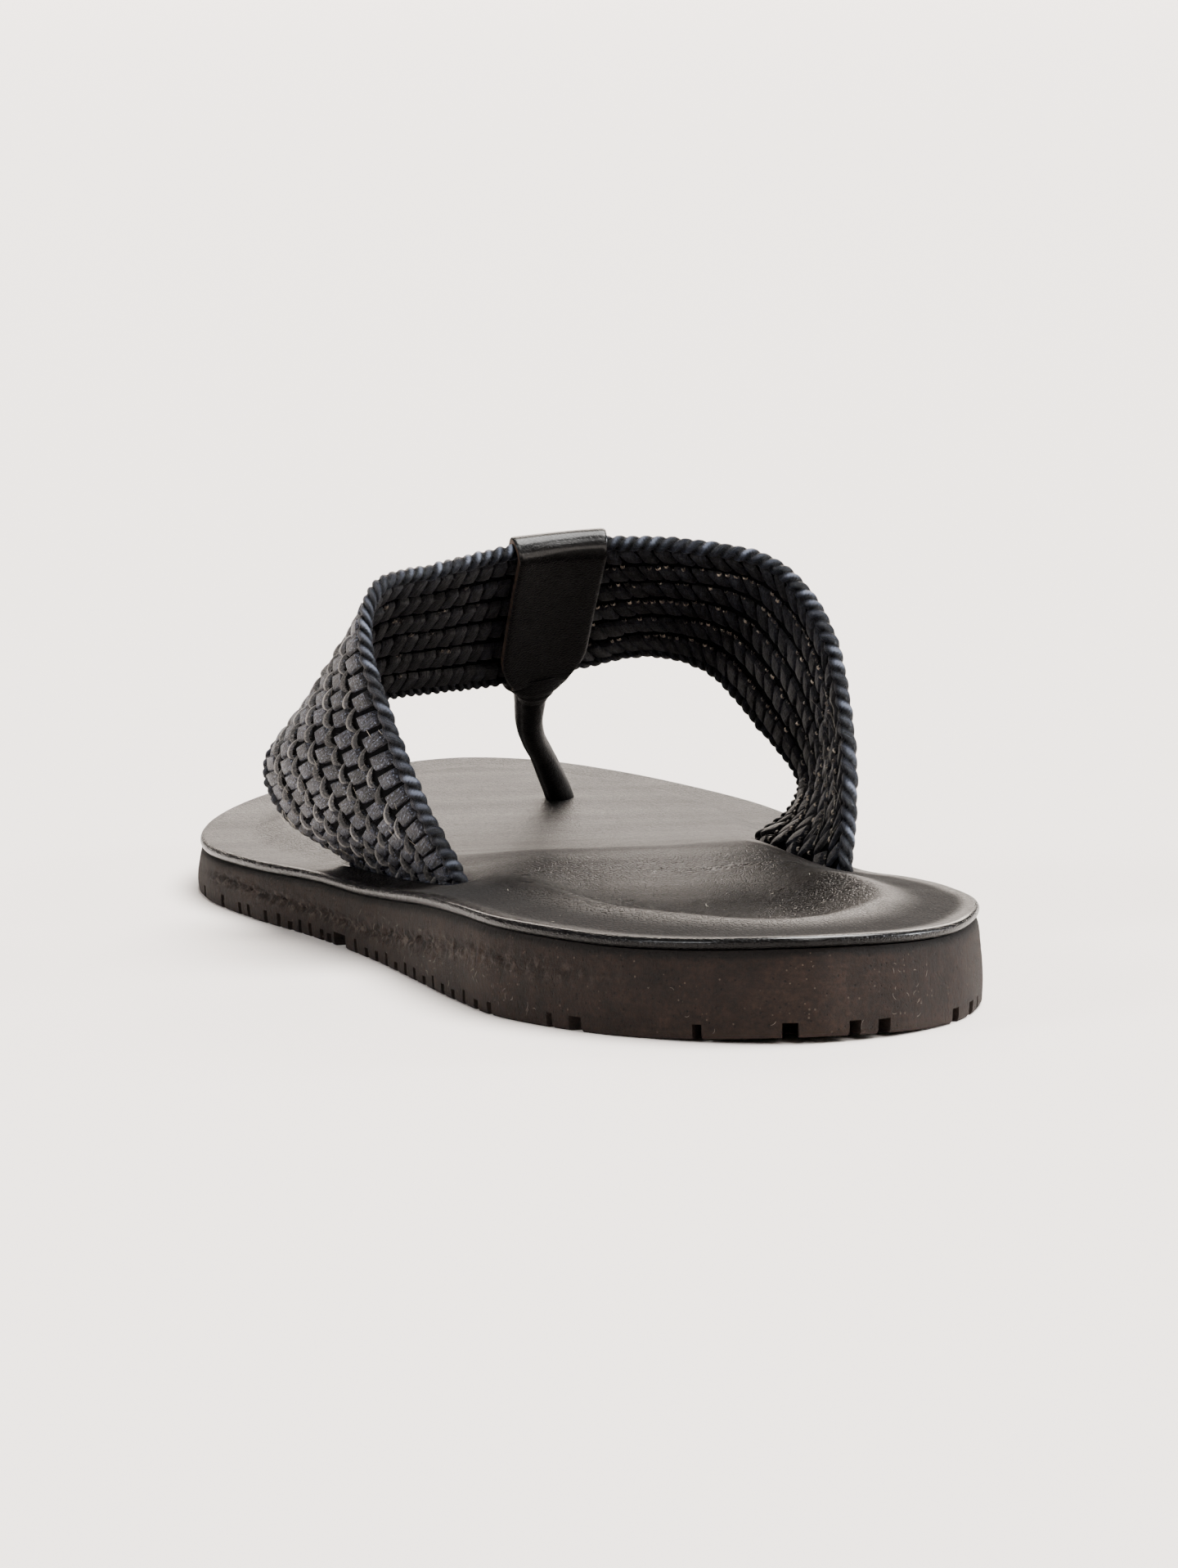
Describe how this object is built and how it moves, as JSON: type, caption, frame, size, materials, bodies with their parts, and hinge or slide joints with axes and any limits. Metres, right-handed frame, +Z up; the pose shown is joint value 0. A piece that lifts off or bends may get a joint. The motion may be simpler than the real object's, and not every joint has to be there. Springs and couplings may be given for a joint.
{
  "type": "flip-flop sandal",
  "caption": "Left flip-flop with a wide woven strap, a leather wrap and toe post, a contoured leather footbed and a flat rubber outsole.",
  "frame": {"origin": "on the floor at the middle of the heel's flat spot, on the shoe's long axis", "axes": "+Y from heel to toe, +X towards the medial side, +Z up"},
  "size_m": [0.1027, 0.2816, 0.0642],
  "materials": {
    "outsole": "buffed crepe, matt",
    "footbed": "fine pebbled grain, semi-gloss",
    "woven_upper": "flat woven strands, satin",
    "centre_wrap": "smooth, semi-gloss",
    "toe_post": "rolled, matt"
  },
  "bodies": {
    "root": {"outsole": "outsole", "footbed": "footbed", "woven_upper": "woven_upper", "centre_wrap": "centre_wrap", "toe_post": "toe_post"}
  },
  "joints": []
}
